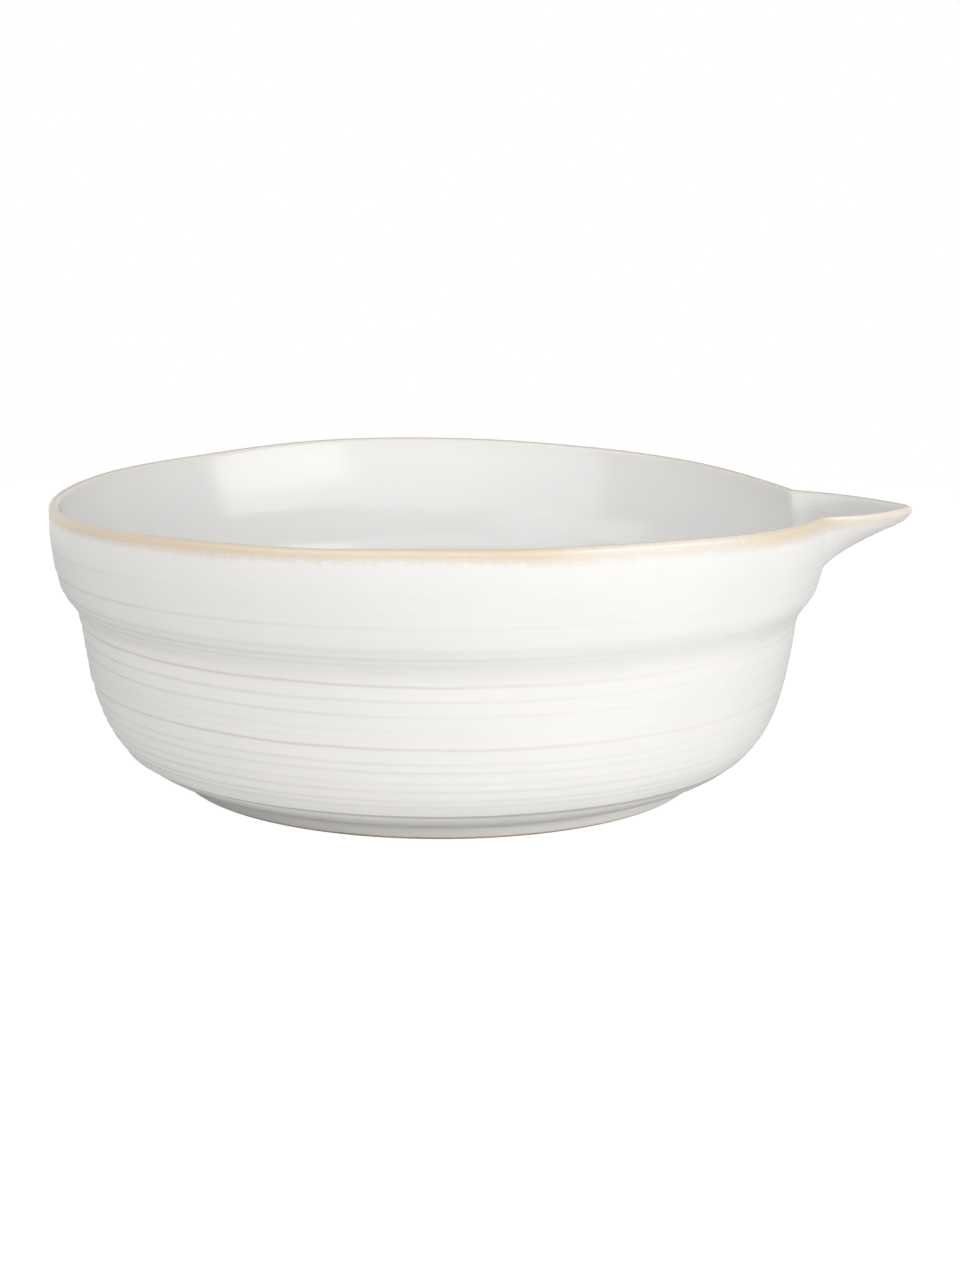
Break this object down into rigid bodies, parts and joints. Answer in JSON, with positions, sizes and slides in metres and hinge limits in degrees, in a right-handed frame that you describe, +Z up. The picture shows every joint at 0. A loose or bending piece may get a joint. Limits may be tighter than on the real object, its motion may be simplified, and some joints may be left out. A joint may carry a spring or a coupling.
{
  "type": "spouted bowl",
  "caption": "Low round stoneware mixing bowl with a stepped shoulder, a gently dipping rim, a pulled pouring spout, a turned foot ring and a white glaze.",
  "frame": {"origin": "on the table, under the middle of the plan outline, half the spout's reach away from the wheel's axis", "axes": "+Z up, +X towards the spout's tip, +Y to the left when looking along the spout"},
  "size_m": [0.2672, 0.2396, 0.0912],
  "materials": {
    "bare_stoneware": "bare fired stoneware, tan and matt, seen at the foot's edge",
    "white_glaze": "glossy warm white glaze that breaks to tan where it runs thin over the rim",
    "liner_glaze": "smooth glossy white glaze poured over the inside"
  },
  "bodies": {
    "root": {"bowl_body": "bare_stoneware", "spout": "bare_stoneware", "foot_ring": "bare_stoneware", "outer_glaze": "white_glaze", "base_glaze": "white_glaze", "inner_glaze": "liner_glaze"}
  },
  "joints": []
}
